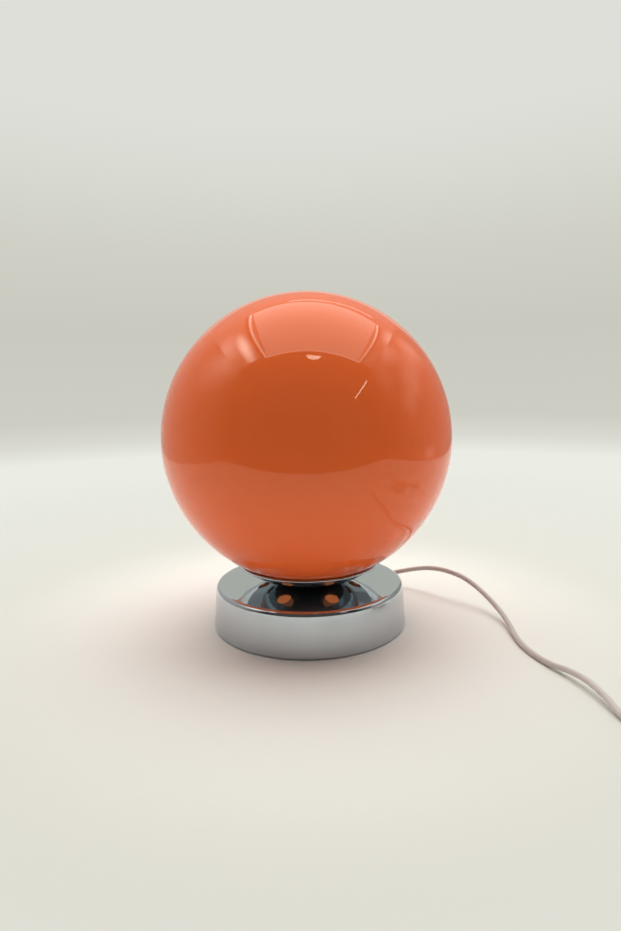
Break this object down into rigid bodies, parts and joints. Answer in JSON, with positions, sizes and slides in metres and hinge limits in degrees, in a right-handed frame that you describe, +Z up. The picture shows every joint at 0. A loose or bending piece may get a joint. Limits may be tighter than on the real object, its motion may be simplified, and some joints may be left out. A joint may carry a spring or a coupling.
{
  "type": "table lamp",
  "caption": "Table lamp with a glass globe resting in a shallow dish on a flat round base, with a cord, in-line switch and plug.",
  "frame": {"origin": "centre of the felt's underside, on the table top", "axes": "+Z up along the globe's axis, -Y towards the picture's viewer, +X to the viewer's right; the cord leaves the base at the rear right"},
  "size_m": [0.5048, 0.3809, 0.2912],
  "materials": {
    "orange_cased_glass": "gloss, opal inner layer",
    "chrome_plate": "polished",
    "cast_iron_grey": "rough",
    "zinc_steel": "zinc plated",
    "dark_felt": "felt",
    "clear_rubber": "silicone",
    "grey_pvc": "satin cord sheath",
    "white_plastic": "satin",
    "black_plastic": "satin phenolic",
    "nickel_brass": "bright",
    "porcelain": "glazed insulating body",
    "frosted_glass": "inside frosted",
    "clear_glass": "clear",
    "tungsten_wire": "drawn",
    "brown_core": "core insulation"
  },
  "bodies": {
    "lamp": {"base_shell": "chrome_plate", "ballast_weight": "cast_iron_grey", "bottom_cover": "zinc_steel", "cover_screws": "zinc_steel", "felt_pad": "dark_felt", "centre_tube": "zinc_steel", "bottom_washer": "zinc_steel", "bottom_nut": "nickel_brass", "top_washer": "chrome_plate", "top_nut": "chrome_plate", "gallery_dish": "chrome_plate", "seat_ring": "clear_rubber", "cord_bush": "black_plastic", "inner_lead": "grey_pvc", "cord_clamp": "white_plastic", "clamp_screws": "zinc_steel", "core_wires": "brown_core", "holder_cap": "black_plastic", "holder_grub_screw": "zinc_steel", "holder_barrel": "black_plastic", "holder_insert": "porcelain", "terminal_screws": "nickel_brass", "screw_sleeve": "nickel_brass", "centre_contact": "nickel_brass", "free_cord_lamp": "grey_pvc", "free_cord_switch": "grey_pvc", "free_cord_plug": "grey_pvc", "cord_coil": "grey_pvc", "switch_lower": "white_plastic", "switch_upper": "white_plastic", "switch_screws": "zinc_steel", "rocker_axle": "zinc_steel", "switch_sheaths": "grey_pvc", "switch_terminals": "nickel_brass", "switch_blade": "nickel_brass", "switch_cores": "brown_core", "plug_body": "grey_pvc", "plug_pins": "nickel_brass", "pin_sleeves": "black_plastic"},
    "globe": {"glass_globe": "orange_cased_glass"},
    "bulb_tip_contact": {"bulb_tip": "nickel_brass"},
    "bulb": {"bulb_cap": "nickel_brass", "cap_insulator": "black_plastic", "bulb_envelope": "frosted_glass", "bulb_stem": "clear_glass", "filament": "tungsten_wire"},
    "rocker": {"switch_rocker": "white_plastic"}
  },
  "joints": [
    {"name": "globe_lift", "type": "slide", "parent": "lamp", "child": "globe", "axis": [0, 0, 1], "range_m": [0, 0.17]},
    {"name": "bulb_lift", "type": "slide", "parent": "lamp", "child": "bulb_tip_contact", "axis": [0, 0, 1], "range_m": [0, 0.0182]},
    {"name": "bulb_turn", "type": "hinge", "parent": "bulb_tip_contact", "child": "bulb", "pos_m": [0, 0, 0.0888], "axis": [0, 0, 1], "range_deg": [0, 1800]},
    {"name": "switch_rock", "type": "hinge", "parent": "lamp", "child": "rocker", "pos_m": [0.305, -0.243, 0.0145], "axis": [0, 1, 0], "range_deg": [0, 16]}
  ],
  "couplings": [
    {"joint": "bulb_lift", "follows": "bulb_turn", "m_per_rad": 0.00057614}
  ]
}
